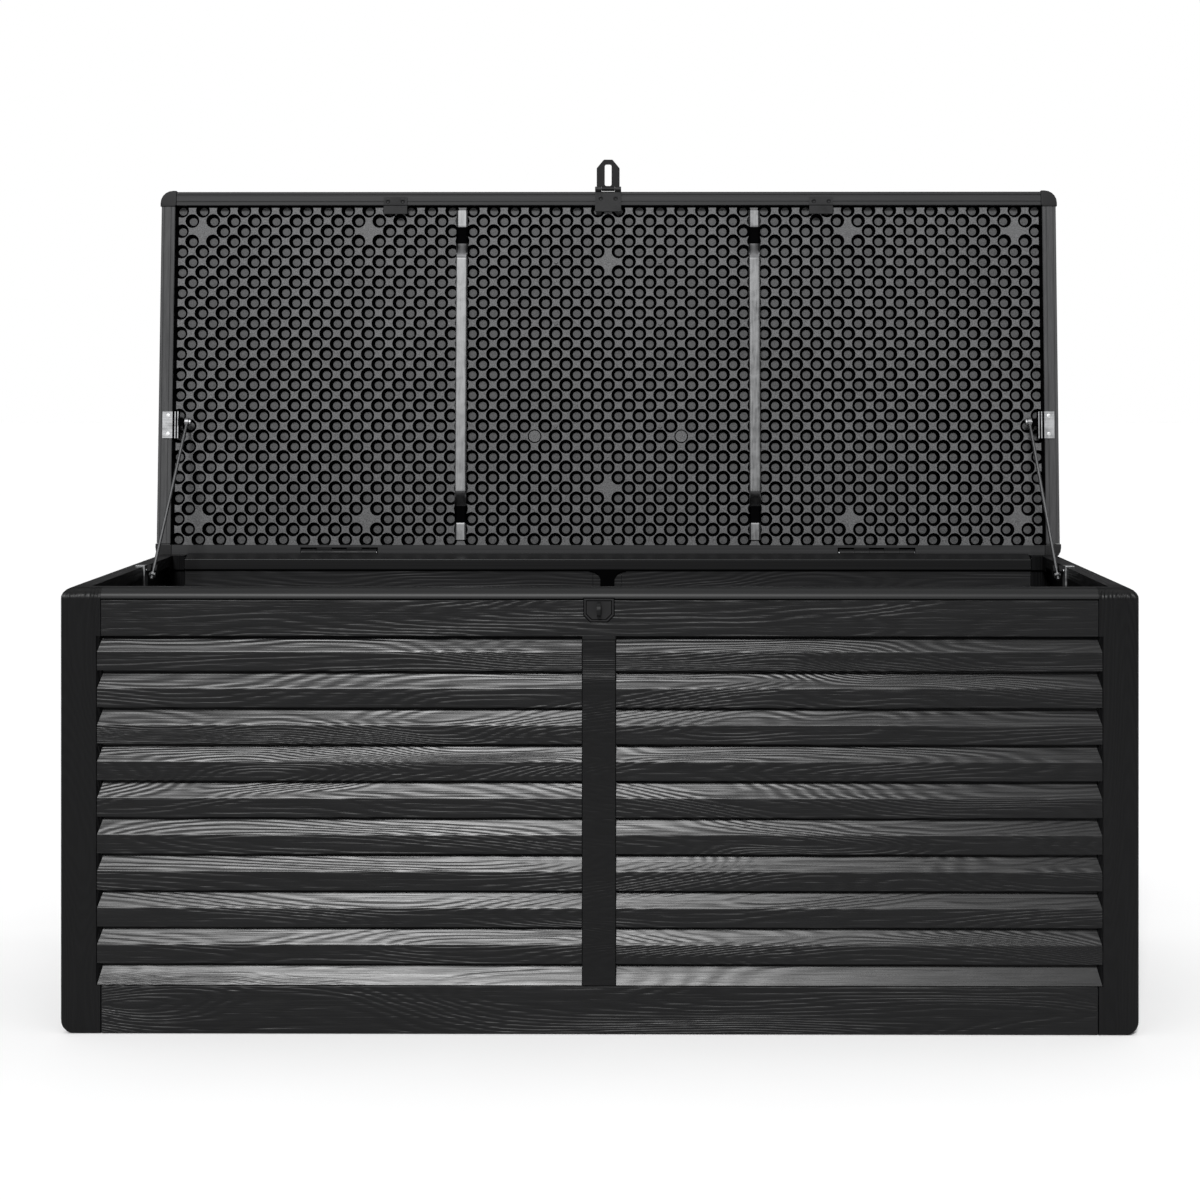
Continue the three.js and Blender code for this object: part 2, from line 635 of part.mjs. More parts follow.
for (const [side, sign] of sides) {
  const middle = sign * stayX;
  const eyeA = middle - eyeWidth / 2;
  const eyeB = middle + eyeWidth / 2;
  const eyeBore = circle(stayPinRadius + runClearance);

  // The rod, from its eye on the lid pivot towards -Y
  const rod = new THREE.Group();
  rod.position.set(0, openPivot.x, openPivot.y);
  rod.rotation.x = rodSlope;
  storageBox.add(rod);
  place(rod, `stay_rod_${side}`, cut(join(prismX(circle(eyeRadius), eyeA, eyeB),
    prismY(circle(rodRadius, middle, 0), -rodLength, -stayPinRadius)), prismX(eyeBore, eyeA - 1, eyeB + 1)),
  zinc);
  const nutStart = -run.length() - guideHalfLength - 1;
  place(rod, `stay_stop_${side}`, cut(
    prismY(circle(nutRadius, middle, 0, 6), nutStart - nutLength, nutStart),
    prismY(circle(rodRadius + runClearance, middle, 0), nutStart - nutLength - 1, nutStart + 1)), zinc);

  // The guide, which swivels on the rim bracket and carries the rod in a slot open at the top
  const swivel = new THREE.Group();
  swivel.position.set(0, guide.x, guide.y);
  swivel.rotation.x = rodSlope;
  storageBox.add(swivel);
  const slotInner = stayX - guideSlotWidth / 2;
  const slotOuter = stayX + guideSlotWidth / 2;
  const swivelOuter = slotOuter + guideOuterWall;
  const stubInner = slotOuter + 2;
  place(swivel, `stay_guide_${side}`, cut(
    block(sign * (slotInner - guideInnerWall), sign * swivelOuter, -guideHalfLength, guideHalfLength,
      -rodRadius - runClearance - guideFloor, guideTop),
    block(sign * slotInner, sign * slotOuter, -guideHalfLength - 1, guideHalfLength + 1,
      -rodRadius - runClearance, guideTop + 1),
    prismX(eyeBore, sign * stubInner, sign * (swivelOuter + 1))), darkSteel);

  // The bracket over the side rim, with the stub that the guide swivels on
  const rimInner = halfWidth - sideRimWidth;
  const hangInner = rimInner - rimPlateWall;
  const plateA = guide.x - rimPlateLength / 2;
  const plateB = guide.x + rimPlateLength / 2;
  const hook = [[sign * hangInner, bodyHeight + rimPlateThickness],
    [sign * (rimInner + rimPlateOnRim), bodyHeight + rimPlateThickness],
    [sign * (rimInner + rimPlateOnRim), bodyHeight], [sign * rimInner, bodyHeight],
    [sign * rimInner, bodyHeight - rimPlateHang], [sign * hangInner, bodyHeight - rimPlateHang]];
  place(storageBox, `stay_rim_bracket_${side}`, join(prismY(hook, plateA, plateB),
    prismX(circle(stayPinRadius, guide.x, guide.y), sign * (stubInner + seam), sign * (hangInner + 1))),
  zinc);

  // The bracket on the lid, modelled closed
  const lidPlateOuter = halfWidth - stayPlateInner;
  const lidPlateInner = lidPlateOuter - stayPlateWidth;
  const flangeInner = stayX + eyeWidth / 2 + seam * 4;
  const flangeOuter = flangeInner + flangeThickness;
  const top = lidUnder - seam;
  const under = top - stayPlateThickness;
  const bracket = [[sign * lidPlateOuter, top], [sign * flangeInner, top],
    [sign * flangeInner, pivot.y - flangeBelowPivot], [sign * flangeOuter, pivot.y - flangeBelowPivot],
    [sign * flangeOuter, under], [sign * lidPlateOuter, under]];
  const narrow = [pivot.x - flangeLength / 2, pivot.x + flangeLength / 2];
  const bracketShape = prismY(bracket, narrow[0], narrow[1]);
  const lidPlateFront = pivot.x - stayPlateAhead;
  const lidPlate = block(sign * lidPlateInner, sign * lidPlateOuter, lidPlateFront,
    lidPlateFront + stayPlateLength, under, top);
  const flangeBore = prismX(circle(stayPinRadius + runClearance, pivot.x, pivot.y),
    sign * (flangeInner - 1), sign * (flangeOuter + 1));
  place(lidParts, `stay_lid_bracket_${side}`, cut(join(bracketShape, lidPlate), flangeBore), zinc);

  const headInner = stayX - eyeWidth / 2 - seam;
  place(lidParts, `stay_pivot_pin_${side}`, join(
    prismX(circle(stayPinRadius, pivot.x, pivot.y), sign * (headInner - 1), sign * (flangeOuter + 1)),
    prismX(circle(stayPinHead, pivot.x, pivot.y), sign * headInner,
      sign * (headInner - stayPinHeadLength))), zinc);
}

export default storageBox;
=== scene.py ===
"""Deck storage box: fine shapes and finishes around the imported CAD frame, in metres, +Z up, front facing -Y."""
import json
import math

import bmesh
import bpy
from mathutils import Matrix, Vector


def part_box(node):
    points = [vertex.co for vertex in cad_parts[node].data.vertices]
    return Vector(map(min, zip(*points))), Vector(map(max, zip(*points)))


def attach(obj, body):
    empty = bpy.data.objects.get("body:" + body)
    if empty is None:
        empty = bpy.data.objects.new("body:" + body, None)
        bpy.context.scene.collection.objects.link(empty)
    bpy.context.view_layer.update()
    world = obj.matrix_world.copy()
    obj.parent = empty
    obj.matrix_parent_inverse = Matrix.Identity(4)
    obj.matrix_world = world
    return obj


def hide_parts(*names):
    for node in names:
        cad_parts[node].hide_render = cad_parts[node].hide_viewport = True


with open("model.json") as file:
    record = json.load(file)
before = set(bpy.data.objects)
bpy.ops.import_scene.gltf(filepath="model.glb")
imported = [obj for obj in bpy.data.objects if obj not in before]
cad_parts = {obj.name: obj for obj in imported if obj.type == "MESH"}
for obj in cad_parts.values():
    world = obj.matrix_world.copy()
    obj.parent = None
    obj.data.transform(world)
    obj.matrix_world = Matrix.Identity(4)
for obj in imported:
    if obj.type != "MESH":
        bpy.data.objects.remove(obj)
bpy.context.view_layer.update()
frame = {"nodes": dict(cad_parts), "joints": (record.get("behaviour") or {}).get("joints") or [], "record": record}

SIDES = (("left", -1), ("right", 1))
ENDS = (("front", -1), ("rear", 1))
JOINTS = {joint["name"]: joint for joint in frame["joints"]}
BODY_OF = {node: body for body, nodes in frame["record"]["behaviour"]["bodies"].items() for node in nodes}

# The lid rests open in the frame. Its pieces are worked out closed, where they are square to the axes,
# and turned open by this matrix.
HINGE = Vector(JOINTS["lid_hinge"]["pos_m"])
OPEN_ANGLE = math.radians(JOINTS["lid_hinge"]["range_deg"][1])
OPENED = Matrix.Translation(HINGE) @ Matrix.Rotation(-OPEN_ANGLE, 4, "X") @ Matrix.Translation(-HINGE)
CLOSED = OPENED.inverted()


def lid_box(node):
    """Lowest and highest corner of a lid node with the lid closed."""
    points = [CLOSED @ vertex.co for vertex in frame["nodes"][node].data.vertices]
    low = Vector([min(point[i] for point in points) for i in range(3)])
    high = Vector([max(point[i] for point in points) for i in range(3)])
    return low, high


# ---------------------------------------------------------------- materials
class Shader:
    """A Principled material whose colour, roughness and bump come from procedural patterns."""

    def __init__(self, name, roughness=0.5, metallic=0.0, specular=0.5):
        self.material = bpy.data.materials.new(name)
        self.material.use_nodes = True
        self.nodes = self.material.node_tree.nodes
        self.links = self.material.node_tree.links
        self.surface = self.nodes["Principled BSDF"]
        self.surface.inputs["Roughness"].default_value = roughness
        self.surface.inputs["Metallic"].default_value = metallic
        self.surface.inputs["Specular IOR Level"].default_value = specular
        self.place = self.nodes.new("ShaderNodeTexCoord").outputs["Object"]

    def link(self, source, target):
        self.links.new(source, target)

    def stretched(self, scale):
        """Object coordinates scaled along each axis."""
        mapping = self.nodes.new("ShaderNodeMapping")
        mapping.inputs["Scale"].default_value = scale
        self.link(self.place, mapping.inputs["Vector"])
        return mapping.outputs["Vector"]

    def noise(self, scale, detail=2.0, roughness=0.5, distortion=0.0):
        """A noise value; scale is one number or one for each axis."""
        texture = self.nodes.new("ShaderNodeTexNoise")
        axes = scale if isinstance(scale, tuple) else (scale,) * 3
        self.link(self.stretched(axes), texture.inputs["Vector"])
        texture.inputs["Scale"].default_value = 1.0
        texture.inputs["Detail"].default_value = detail
        texture.inputs["Roughness"].default_value = roughness
        texture.inputs["Distortion"].default_value = distortion
        return texture.outputs["Fac"]

    def math(self, operation, a, b=0.0, c=0.0):
        node = self.nodes.new("ShaderNodeMath")
        node.operation = operation
        for socket, value in zip(node.inputs, (a, b, c)):
            if isinstance(value, (int, float)):
                socket.default_value = value
            else:
                self.link(value, socket)
        return node.outputs[0]

    def span(self, value, low, high, start=0.0, end=1.0):
        """value taken from [start, end] to [low, high]."""
        node = self.nodes.new("ShaderNodeMapRange")
        for socket, number in zip(list(node.inputs)[1:5], (start, end, low, high)):
            socket.default_value = number
        self.link(value, node.inputs["Value"])
        return node.outputs["Result"]

    def colour(self, value, dark, light):
        """A colour between dark and light, by value."""
        node = self.nodes.new("ShaderNodeMix")
        node.data_type = "RGBA"
        node.inputs["A"].default_value = (*dark, 1.0)
        node.inputs["B"].default_value = (*light, 1.0)
        self.link(value, node.inputs["Factor"])
        self.link(node.outputs["Result"], self.surface.inputs["Base Color"])

    def roughness(self, value):
        self.link(value, self.surface.inputs["Roughness"])

    def bump(self, height, distance, strength=1.0):
        node = self.nodes.new("ShaderNodeBump")
        node.inputs["Distance"].default_value = distance
        node.inputs["Strength"].default_value = strength
        self.link(height, node.inputs["Height"])
        self.link(node.outputs["Normal"], self.surface.inputs["Normal"])


def along(axis, length, across):
    """A scale for a pattern drawn out along one axis."""
    return tuple(length if name == axis else across for name in "XYZ")


def wood_grain_resin(name, axis, dark, light, relief=0.0009, gloss=(0.3, 0.42), specular=0.15):
    """Moulded resin with an embossed wood grain that runs along an axis."""
    shader = Shader(name, specular=specular)
    flow = shader.noise(along(axis, 1.3, 9.0), detail=1.5, distortion=0.3)
    drift = shader.noise(along(axis, 5.0, 60.0), detail=2.0)
    phase = shader.math("MULTIPLY_ADD", drift, 11.0, shader.math("MULTIPLY", flow, 330.0))
    rings = shader.span(shader.math("SINE", phase), 0.0, 1.0, -1.0, 1.0)
    streaks = shader.noise(along(axis, 7.0, 430.0), detail=3.0, roughness=0.6)
    mottle = shader.noise(along(axis, 3.0, 24.0), detail=3.0)
    height = shader.math("MULTIPLY_ADD", rings, 0.5, shader.math("MULTIPLY", streaks, 0.75))
    shader.bump(height, relief, 1.0)
    shader.colour(shader.math("MULTIPLY_ADD", mottle, 0.5, shader.math("MULTIPLY", height, 0.45)), dark, light)
    shader.roughness(shader.span(streaks, *gloss, 0.3, 0.7))
    return shader.material


def plain_resin(name, dark, light, roughness=(0.4, 0.55), specular=0.35):
    """Moulded resin with a fine spark-eroded texture."""
    shader = Shader(name, specular=specular)
    mottle = shader.noise(14.0, detail=4.0)
    fine = shader.noise(900.0, detail=3.0, roughness=0.6)
    shader.colour(mottle, dark, light)
    shader.roughness(shader.span(fine, *roughness, 0.3, 0.7))
    shader.bump(fine, 0.00012, 0.6)
    return shader.material


def lattice_resin(name, dark, light, relief=0.0002):
    """Moulded resin with a coarse spark-eroded texture that also speckles its colour."""
    shader = Shader(name, specular=0.3)
    speckle = shader.noise(620.0, detail=3.0, roughness=0.7)
    mottle = shader.noise(9.0, detail=3.0)
    grain = shader.span(speckle, 0.0, 1.0, 0.34, 0.66)
    shader.colour(shader.math("MULTIPLY_ADD", mottle, 0.3, shader.math("MULTIPLY", grain, 0.7)), dark, light)
    shader.roughness(shader.span(speckle, 0.35, 0.55, 0.3, 0.7))
    shader.bump(speckle, relief, 0.8)
    return shader.material


def extruded_resin(name, axis, dark, light):
    """Smooth resin with fine lines along an axis."""
    shader = Shader(name, specular=0.17)
    lines = shader.noise(along(axis, 0.6, 300.0), detail=3.0, roughness=0.6)
    mottle = shader.noise(along(axis, 2.0, 10.0), detail=2.0)
    blend = shader.math("MULTIPLY_ADD", mottle, 0.4, shader.math("MULTIPLY", lines, 0.6))
    shader.colour(blend, dark, light)
    shader.roughness(shader.span(lines, 0.34, 0.46, 0.3, 0.7))
    shader.bump(lines, 0.00015, 0.8)
    return shader.material


def zinc_plate(name, axis, dark, light, roughness=(0.3, 0.5)):
    """Zinc-plated steel, drawn along an axis, with faint spangles and handling marks."""
    shader = Shader(name, metallic=1.0)
    streaks = shader.noise(along(axis, 6.0, 420.0), detail=3.0, roughness=0.6)
    spangle = shader.noise(55.0, detail=3.0, distortion=0.8)
    blend = shader.math("ADD", shader.math("MULTIPLY", streaks, 0.5), shader.math("MULTIPLY", spangle, 0.5))
    shader.colour(blend, dark, light)
    shader.roughness(shader.span(blend, *roughness, 0.35, 0.65))
    shader.bump(streaks, 0.00008, 0.5)
    return shader.material


def coated_steel(name, dark, light):
    """Steel under a dark coat with a slight orange peel."""
    shader = Shader(name, metallic=0.1, specular=0.12)
    peel = shader.noise(420.0, detail=2.0)
    wear = shader.noise(40.0, detail=4.0)
    shader.colour(wear, dark, light)
    shader.roughness(shader.span(wear, 0.34, 0.52, 0.3, 0.7))
    shader.bump(peel, 0.0001, 0.6)
    return shader.material


BODY_DARK, BODY_LIGHT = (0.0028, 0.0028, 0.003), (0.0085, 0.0086, 0.009)
POST_DARK, POST_LIGHT = (0.0018, 0.0018, 0.002), (0.0055, 0.0056, 0.0059)
SLAT_FINISH = {"relief": 0.0003, "gloss": (0.26, 0.34), "specular": 0.24}
SLAT_GRAIN = wood_grain_resin("slat_grain", "X", BODY_DARK, BODY_LIGHT, **SLAT_FINISH)
GRAIN_X = wood_grain_resin("resin_grain_x", "X", BODY_DARK, BODY_LIGHT)
GRAIN_Y = wood_grain_resin("resin_grain_y", "Y", BODY_DARK, BODY_LIGHT)
GRAIN_Z = wood_grain_resin("resin_grain_z", "Z", POST_DARK, POST_LIGHT, relief=0.0006, specular=0.12)
SLAT_GRAIN_Y = wood_grain_resin("slat_grain_y", "Y", BODY_DARK, BODY_LIGHT, **SLAT_FINISH)
MULLION_GRAIN = wood_grain_resin("mullion_grain", "X", POST_DARK, POST_LIGHT, relief=0.0004, specular=0.14)
BACK_GRAIN = wood_grain_resin("back_grain", "X", (0.009, 0.009, 0.0094), (0.02, 0.0201, 0.0208), relief=0.0004)
RIM_GRAIN = extruded_resin("rim_grain", "X", (0.003, 0.0031, 0.0033), (0.012, 0.0122, 0.0127))
RIM_RESIN = extruded_resin("rim_resin", "X", (0.0045, 0.0045, 0.0048), (0.01, 0.0101, 0.0105))
LID_RAIL_X = extruded_resin("lid_rail_x", "X", (0.012, 0.0122, 0.0127), (0.036, 0.0364, 0.0375))
LID_RAIL_Z = extruded_resin("lid_rail_z", "Z", (0.022, 0.0222, 0.023), (0.078, 0.0785, 0.08))
# near-black painted shade for the pit walls and for the bands beside the lid's rails
PIT_WALL_PAINTED_SHADE = plain_resin("pit_wall_painted_shade", (0.0005, 0.0005, 0.0006), (0.0015, 0.0015, 0.0016), specular=0.0)
# the lattice resin in a darker copy for the pit floors: painted shade at the bottom of the pits
PIT_FLOOR_PAINTED_SHADE = lattice_resin("pit_floor_painted_shade", (0.014, 0.0142, 0.0147), (0.085, 0.086, 0.088))
LATTICE = lattice_resin("lattice", (0.018, 0.0182, 0.019), (0.145, 0.146, 0.149))
BOSS_RESIN = plain_resin("boss_resin", (0.07, 0.07, 0.072), (0.1, 0.1, 0.103))
DARK_RESIN = plain_resin("dark_resin", (0.004, 0.004, 0.0043), (0.009, 0.009, 0.0095), specular=0.2)
# near-black resin: painted shade in the bar troughs, on the lock plate's bands, in the front rim's rebate, in the
# clips' grooves and on the stay brackets' webs and lugs; the back joiner's own black
BLACK_AND_PAINTED_SHADE = plain_resin("black_resin_and_painted_shade", (0.0008, 0.0008, 0.0009), (0.002, 0.002, 0.0022), specular=0.0)
RIVET_STEEL = zinc_plate("rivet_steel", "X", (0.5, 0.505, 0.51), (0.72, 0.725, 0.73))
ZINC_X = zinc_plate("zinc_x", "X", (0.25, 0.255, 0.26), (0.42, 0.425, 0.43))
ZINC_ROD = zinc_plate("zinc_rod", "Z", (0.1, 0.101, 0.103), (0.22, 0.222, 0.226))
# two copies of one zinc for the two alike bars, differing by painted light and shade: the left copy lighter and even,
# the right copy with dark streaks of painted shade and light streaks of painted highlight
ZINC_BAR_PAINTED_LIGHT_AND_SHADE = {
    "left": zinc_plate("zinc_bar_left_painted_light_and_shade", "Z", (0.15, 0.152, 0.154), (0.27, 0.272, 0.275), roughness=(0.34, 0.5)),
    "right": zinc_plate("zinc_bar_right_painted_light_and_shade", "Z", (0.03, 0.031, 0.032), (0.28, 0.282, 0.285), roughness=(0.34, 0.5)),
}
# a darker copy of the zinc: painted shade where a bar rises from its trough
PAINTED_SHADE_ZINC = zinc_plate("painted_shade_zinc", "X", (0.03, 0.0302, 0.031), (0.1, 0.101, 0.103), roughness=(0.45, 0.6))
CLIP_STEEL = coated_steel("clip_steel", (0.012, 0.0121, 0.0125), (0.026, 0.0262, 0.027))
DARK_STEEL = coated_steel("coated_steel", (0.003, 0.003, 0.0033), (0.009, 0.0092, 0.0096))


# ---------------------------------------------------------------- mesh helpers
MERGE_DISTANCE = 2e-6
TOUCH = 1e-5  # a face whose middle is this near to a plane counts as lying in it
COPLANAR_ANGLE = 0.5  # degrees; faces that differ by less become one before the edges are rounded
SLOPE_FROM, SLOPE_TO = 0.2, 0.9  # upward part of the normal of a slat's slope


def add_piece(name, mesh, body, materials, replaced=(), looks=()):
    """Shows a mesh as a piece that rides on a body and stands for the replaced nodes.

    materials is one material, or several that the faces take by the numbers in looks."""
    piece = bpy.data.objects.new(name, mesh)
    bpy.context.scene.collection.objects.link(piece)
    mesh.materials.clear()
    for material in materials if isinstance(materials, tuple) else (materials,):
        mesh.materials.append(material)
    if looks:
        mesh.polygons.foreach_set("material_index", looks)
    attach(piece, body)
    if replaced:
        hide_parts(*replaced)
    return piece


def smooth(mesh, angle=35.0):
    """Shades a mesh smooth, except over edges sharper than an angle in degrees."""
    mesh.shade_smooth()
    mesh.set_sharp_from_angle(angle=math.radians(angle))


def soften(mesh, width, segments=2, angle=28.0):
    """Rounds the hard edges of a closed mesh, inwards, and shades it smooth."""
    bm = bmesh.new()
    bm.from_mesh(mesh)
    bmesh.ops.remove_doubles(bm, verts=bm.verts, dist=MERGE_DISTANCE)
    bmesh.ops.dissolve_limit(bm, angle_limit=math.radians(COPLANAR_ANGLE), verts=bm.verts, edges=bm.edges)
    hard = [edge for edge in bm.edges if edge.calc_face_angle(0.0) > math.radians(angle)]
    bmesh.ops.bevel(bm, geom=hard, offset=width, segments=segments, profile=0.5, affect="EDGES",
                    clamp_overlap=True, loop_slide=True)
    bmesh.ops.triangulate(bm, faces=[face for face in bm.faces if len(face.verts) > 4])
    bm.to_mesh(mesh)
    bm.free()
    smooth(mesh)


def weighted(piece):
    """Keeps flat faces evenly shaded next to their rounded edges."""
    modifier = piece.modifiers.new("weighted", "WEIGHTED_NORMAL")
    modifier.keep_sharp = True
    return piece


def moulded(node, material, width, segments=2, angle=28.0, slope_material=None):
    """A copy of a CAD node with its edges rounded, which stands for it.

    slope_material, if given, is for the faces of slats that slope upward."""
    mesh = frame["nodes"][node].data.copy()
    soften(mesh, width, segments, angle)
    materials, looks = material, ()
    if slope_material:
        materials = (material, slope_material)
        looks = [int(SLOPE_FROM < face.normal.z < SLOPE_TO) for face in mesh.polygons]
    piece = add_piece(node + "_shape", mesh, BODY_OF[node], materials, (node,), looks)
    return weighted(piece)


def outward(mesh):
    """Turns the faces of a closed mesh outward."""
    bm = bmesh.new()
    bm.from_mesh(mesh)
    bmesh.ops.recalc_face_normals(bm, faces=bm.faces)
    bm.to_mesh(mesh)
    bm.free()


def loft(name, loops):
    """A closed mesh skinned over loops of equally many points and capped at both ends."""
    count = len(loops[0])
    points = [tuple(point) for loop in loops for point in loop]
    faces = []
    for base in range(0, (len(loops) - 1) * count, count):
        for k in range(count):
            after = (k + 1) % count
            faces.append((base + k, base + after, base + count + after, base + count + k))
    faces.append(tuple(reversed(range(count))))
    faces.append(tuple(range(len(points) - count, len(points))))
    mesh = bpy.data.meshes.new(name)
    mesh.from_pydata(points, [], faces)
    outward(mesh)
    return mesh


def turned(profile, spot, facing, sides=20):
    """A solid of revolution with a (radius, height) profile, standing on a spot and facing one way."""
    turn = Vector(facing).to_track_quat("Z", "Y").to_matrix()
    angles = [2 * math.pi * k / sides for k in range(sides)]
    return loft("turned", [[Vector(spot) + turn @ Vector((radius * math.cos(angle), radius * math.sin(angle), height))
                            for angle in angles] for radius, height in profile])


def prism(name, outline, axis, start, end):
    """A prism along an axis; the outline gives the two other coordinates in order."""
    place = {"X": lambda at, a, b: (at, a, b), "Y": lambda at, a, b: (a, at, b),
             "Z": lambda at, a, b: (a, b, at)}[axis]
    return loft(name, [[place(at, a, b) for a, b in outline] for at in (start, end)])


def joined(name, meshes):
    """One mesh of several closed shells."""
    bm = bmesh.new()
    for mesh in meshes:
        bm.from_mesh(mesh)
        bpy.data.meshes.remove(mesh)
    whole = bpy.data.meshes.new(name)
    bm.to_mesh(whole)
    bm.free()
    return whole


def eased(value, start, end):
    """0 before start, 1 after end, with a smooth rise between."""
    share = max(0.0, min(1.0, (value - start) / (end - start)))
    return share * share * (3 - 2 * share)


# ---------------------------------------------------------------- lid underside with its conical pits
PIT_HALF_PITCH = 0.01684
PIT_ROW = 0.01661
PIT_COLUMNS = 41
PIT_ROWS = 16
PIT_SIDES = 16
PIT_STEPS = ((0.0114, 0.0), (0.0110, 0.0008), (0.0064, 0.0100))  # radius and depth of each ring
PLAIN_SITES = {(39, 14), (23, 14), (0, 11)}
DISC_SITE = (7, 6)
DISC_STEPS = ((0.0112, 0.0), (0.0108, 0.0012), (0.0095, 0.0012), (0.0092, 0.0004))
PANEL_REAR_PLAY = 0.0003
FIELD_EDGE = 0.0025
LATTICE_SHADE_BAND = 0.0055  # width of the band of painted shade beside each side rail, standing for the shadow in the groove there
# width of the band of painted shade behind the front rail
LATTICE_FRONT_SHADE_BAND = 0.0035
PIT_SHADE_FROM = 0.0005  # a ring deeper than this is a pit's wall and takes the near-black painted shade
CUT_DISTANCE = 1e-7
PANEL_LOOKS = WEB_LOOK, PAINTED_SHADE_LOOK, FLOOR_SHADE_LOOK, TOP_LOOK = range(4)  # places in the panel's list of materials


def cell_ring(i, j):
    """The points round a square cell that stands on one corner, one for each side of a pit."""
    corners = [Vector(((i + a) * PIT_HALF_PITCH, (j + b) * PIT_ROW)) for a, b in ((1, 0), (0, 1), (-1, 0), (0, -1))]
    quarter = PIT_SIDES // 4
    turns = [math.tan(2 * math.pi * k / PIT_SIDES) for k in range(quarter)]
    ring = []
    for corner, following in zip(corners, corners[1:] + corners[:1]):
        ring += [corner.lerp(following, turn / (1 + turn)) for turn in turns]
    return ring


def pit_lattice(middle_y, z):
    """A flat sheet of cells at height z, most of them sunk into a conical pit."""
    points, index, faces, looks = [], {}, [], []

    def at(x, y, height):
        key = (round(x, 6), round(y, 6), round(height, 6))
        if key not in index:
            index[key] = len(points)
            points.append(key)
        return index[key]

    for j in range(-PIT_ROWS - 2, PIT_ROWS + 3):
        for i in range(-PIT_COLUMNS - 2, PIT_COLUMNS + 3):
            if (i + j) % 2 == 0:
                continue
            ring = [at(point.x, point.y + middle_y, z) for point in cell_ring(i, j)]
            steps = PIT_STEPS
            if abs(i) > PIT_COLUMNS or abs(j) > PIT_ROWS or (abs(i), abs(j)) in PLAIN_SITES:
                steps = ()
            elif (abs(i), j) == DISC_SITE:
                steps = DISC_STEPS
            for radius, depth in steps:
                circle = []
                for k in range(PIT_SIDES):
                    angle = 2 * math.pi * k / PIT_SIDES
                    circle.append(at(i * PIT_HALF_PITCH + radius * math.cos(angle),
                                     j * PIT_ROW + middle_y + radius * math.sin(angle), z + depth))
                for k in range(PIT_SIDES):
                    after = (k + 1) % PIT_SIDES
                    faces.append((ring[k], circle[k], circle[after], ring[after]))
                    # wall rings are painted with near-black shade; shallow rings keep the web's colour
                    looks.append(PAINTED_SHADE_LOOK if depth > PIT_SHADE_FROM else WEB_LOOK)
                ring = circle
            faces.append(tuple(reversed(ring)))
            # pit floors take the darker copy of the lattice colour as painted shade
            looks.append(FLOOR_SHADE_LOOK if steps == PIT_STEPS else WEB_LOOK)
    mesh = bpy.data.meshes.new("lid_panel_ribbed")
    mesh.from_pydata(points, [], faces)
    for _ in PANEL_LOOKS:
        mesh.materials.append(None)
    mesh.polygons.foreach_set("material_index", looks)
    return mesh


def lid_panel():
    """The lid panel: a lattice of conical pits below and a smooth raised field on top."""
    low, high = lid_box("lid_panel")
    rail_low, rail_high = lid_box("lid_rail_front")
    side_low, _ = lid_box("lid_rail_right")
    leaf_low, _ = lid_box("hinge_leaf_lid_left")
    middle_y = (low.y + high.y) / 2
    rear_y = leaf_low.y - PANEL_REAR_PLAY
    edge_z = rail_high.z - (low.z - rail_low.z)
    mesh = pit_lattice(middle_y, low.z)
    bm = bmesh.new()
    bm.from_mesh(mesh)
    for point, normal in (((low.x, 0, 0), (-1, 0, 0)), ((high.x, 0, 0), (1, 0, 0)),
                          ((0, low.y, 0), (0, -1, 0)), ((0, rear_y, 0), (0, 1, 0))):
        bmesh.ops.bisect_plane(bm, geom=bm.verts[:] + bm.edges[:] + bm.faces[:], dist=CUT_DISTANCE,
                               plane_co=point, plane_no=normal, clear_outer=True)
    shade_x, shade_y = side_low.x - LATTICE_SHADE_BAND, rail_high.y + LATTICE_FRONT_SHADE_BAND
    for point, normal in (((-shade_x, 0, 0), (1, 0, 0)), ((shade_x, 0, 0), (1, 0, 0)), ((0, shade_y, 0), (0, 1, 0))):
        bmesh.ops.bisect_plane(bm, geom=bm.verts[:] + bm.edges[:] + bm.faces[:], dist=CUT_DISTANCE,
                               plane_co=point, plane_no=normal)
    # the bands beyond these cuts take the pit walls' near-black painted shade
    for face in bm.faces:
        centre = face.calc_center_median()
        if face.material_index == WEB_LOOK and (abs(centre.x) > shade_x or centre.y < shade_y):
            face.material_index = PAINTED_SHADE_LOOK
    field_x = side_low.x
    field_y = (rail_high.y, 2 * middle_y - rail_high.y)
    levels = ((high.x, (low.y, rear_y), edge_z), (field_x, field_y, edge_z),
              (field_x, field_y, high.z - FIELD_EDGE),
              (field_x - FIELD_EDGE, (field_y[0] + FIELD_EDGE, field_y[1] - FIELD_EDGE), high.z))
    edges = [edge for edge in bm.edges if edge.is_boundary]
    span_x, (first_y, last_y) = high.x, (low.y, rear_y)
    for half_x, (near_y, far_y), z in levels:
        grown = bmesh.ops.extrude_edge_only(bm, edges=edges)["geom"]
        for vertex in (item for item in grown if isinstance(item, bmesh.types.BMVert)):
            share = (vertex.co.y - first_y) / (last_y - first_y)
            vertex.co = (vertex.co.x * half_x / span_x, near_y + share * (far_y - near_y), z)
        edges = [item for item in grown if isinstance(item, bmesh.types.BMEdge)]
        span_x, first_y, last_y = half_x, near_y, far_y
    bmesh.ops.contextual_create(bm, geom=edges)
    bmesh.ops.recalc_face_normals(bm, faces=bm.faces)
    for face in bm.faces:
        if face.calc_center_median().z > edge_z - TOUCH:
            face.material_index = TOP_LOOK
    bm.to_mesh(mesh)
    bm.free()
    mesh.transform(OPENED)
    smooth(mesh, 30.0)
    looks = [face.material_index for face in mesh.polygons]
    add_piece("lid_panel_ribbed", mesh, "lid", (LATTICE, PIT_WALL_PAINTED_SHADE, PIT_FLOOR_PAINTED_SHADE, GRAIN_X),
              ("lid_panel",), looks)


